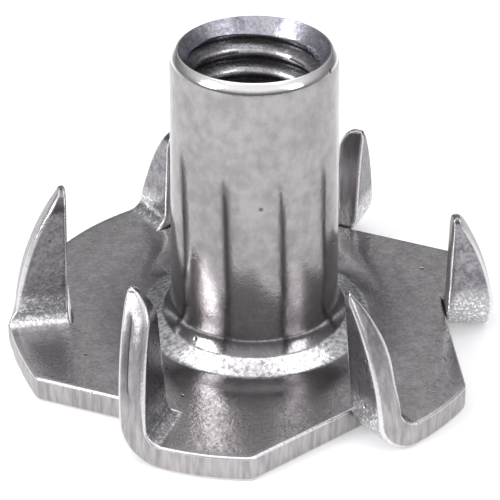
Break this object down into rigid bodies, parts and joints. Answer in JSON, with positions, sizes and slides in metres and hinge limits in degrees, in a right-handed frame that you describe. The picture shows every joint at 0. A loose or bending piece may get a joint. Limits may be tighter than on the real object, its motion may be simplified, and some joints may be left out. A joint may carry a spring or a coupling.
{
  "type": "tee nut",
  "caption": "Pronged tee nut: a threaded barrel drawn up from a sheet steel flange, with teeth cut from the flange's rim and turned up to bite into wood.",
  "frame": {"origin": "on the barrel's axis at the flange's underside, which is the centre of the bottom of the part's box", "axes": "+Z along the barrel from the flange to the mouth; +X towards one of the six prongs, whose inner edge faces the barrel"},
  "size_m": [0.0288, 0.0287, 0.019],
  "materials": {
    "steel": "bare bright drawn and stamped steel: satin barrel, finely grained matt flange, sheared edges with bright rolled corners"
  },
  "bodies": {
    "root": {"tee_nut": "steel"}
  },
  "joints": []
}
